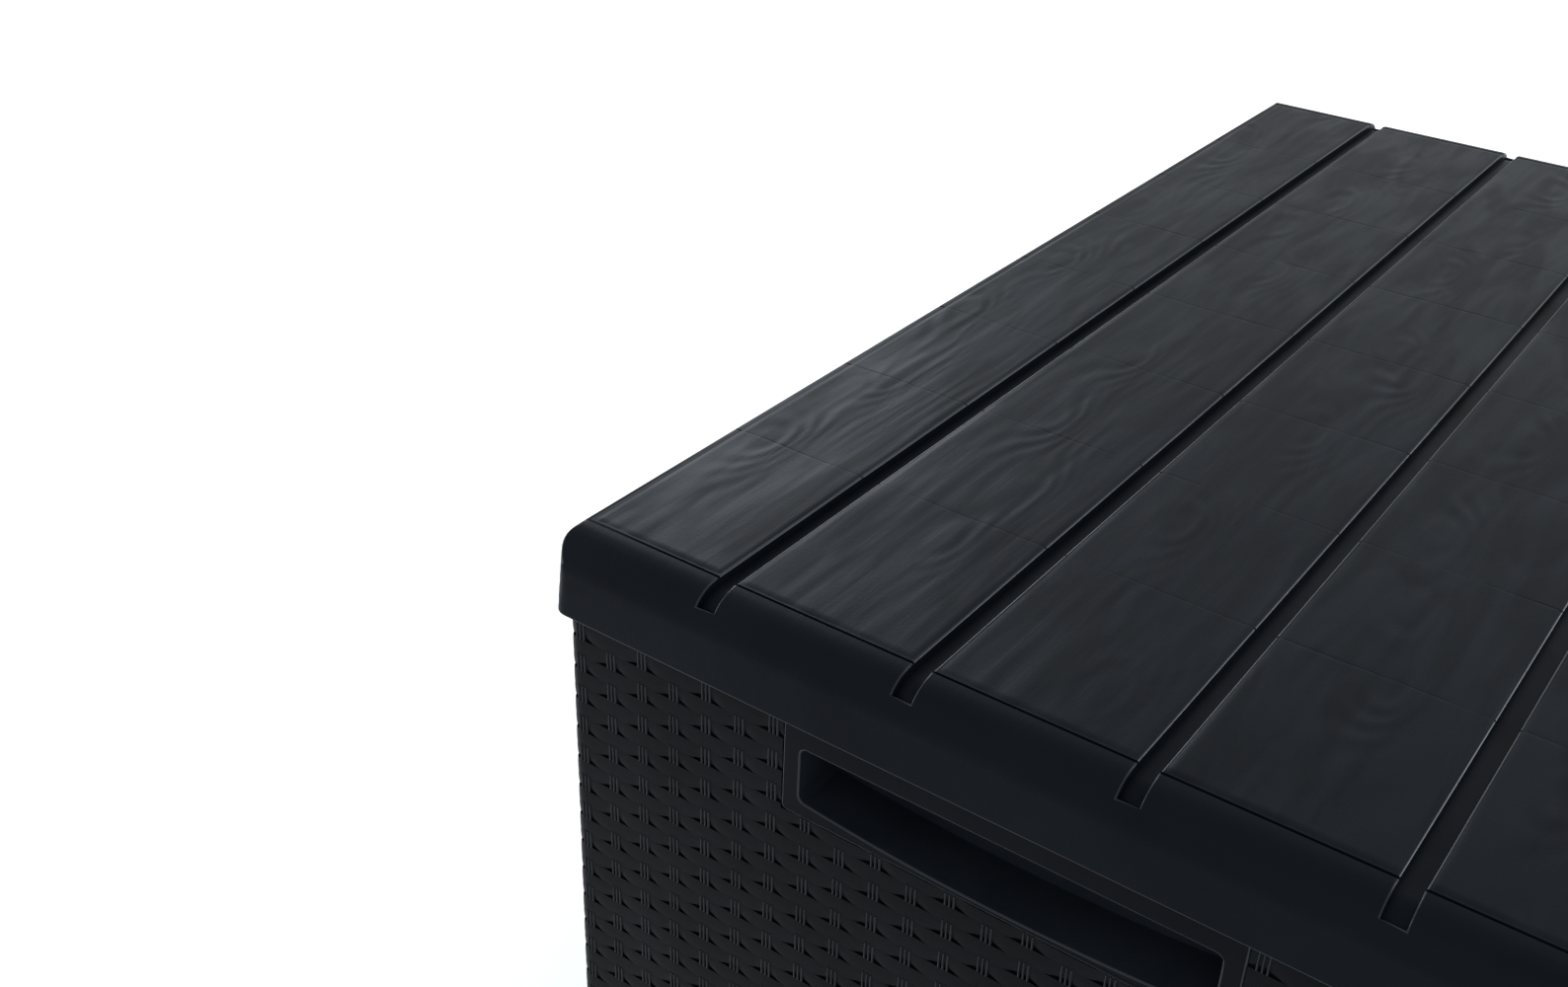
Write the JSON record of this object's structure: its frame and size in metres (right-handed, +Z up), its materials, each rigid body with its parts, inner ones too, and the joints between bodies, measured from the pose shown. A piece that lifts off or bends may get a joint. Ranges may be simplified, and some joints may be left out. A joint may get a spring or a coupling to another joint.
{
  "type": "deck storage box",
  "caption": "Dark woven-look resin garden storage box with a hinged plank-grooved lid, recessed end hand-holds and a padlock lug and tab.",
  "frame": {"origin": "on the ground under the middle of the overall bounding box, hinges and padlock lug included", "axes": "+X along the box's length, -Y towards the front where the lid opens, +Y towards the hinges, +Z up"},
  "size_m": [0.766, 0.4518, 0.46],
  "materials": {
    "lid_resin": "satin moulded resin with a soft board grain",
    "woven_resin": "satin moulded resin",
    "inner_resin": "plain matt moulded resin",
    "screws_and_pins": "black coated steel",
    "soft_pads": "matt rubber"
  },
  "bodies": {
    "box": {"left_end_panel": "woven_resin", "right_end_panel": "woven_resin", "front_panel": "woven_resin", "rear_panel": "woven_resin", "left_handle_cup": "woven_resin", "right_handle_cup": "woven_resin", "corner_keys": "inner_resin", "corner_screws": "screws_and_pins", "base_tray": "inner_resin", "base_feet": "soft_pads", "body_hinge_left": "woven_resin", "body_hinge_right": "woven_resin", "hinge_pin_left": "screws_and_pins", "hinge_pin_right": "screws_and_pins", "body_hinge_screws": "screws_and_pins", "lock_lug": "woven_resin", "lock_lug_screws": "screws_and_pins"},
    "lid": {"lid_shell": "lid_resin", "lid_liner": "inner_resin", "liner_screws": "screws_and_pins", "lid_bumpers": "soft_pads", "lid_hinge_left": "woven_resin", "lid_hinge_right": "woven_resin", "lid_hinge_screws": "screws_and_pins", "lock_tab": "woven_resin", "lock_tab_screws": "screws_and_pins"}
  },
  "joints": [
    {"name": "lid_hinge", "type": "hinge", "parent": "box", "child": "lid", "pos_m": [0, 0.21783, 0.4175], "axis": [-1, 0, 0], "range_deg": [0, 98]}
  ]
}
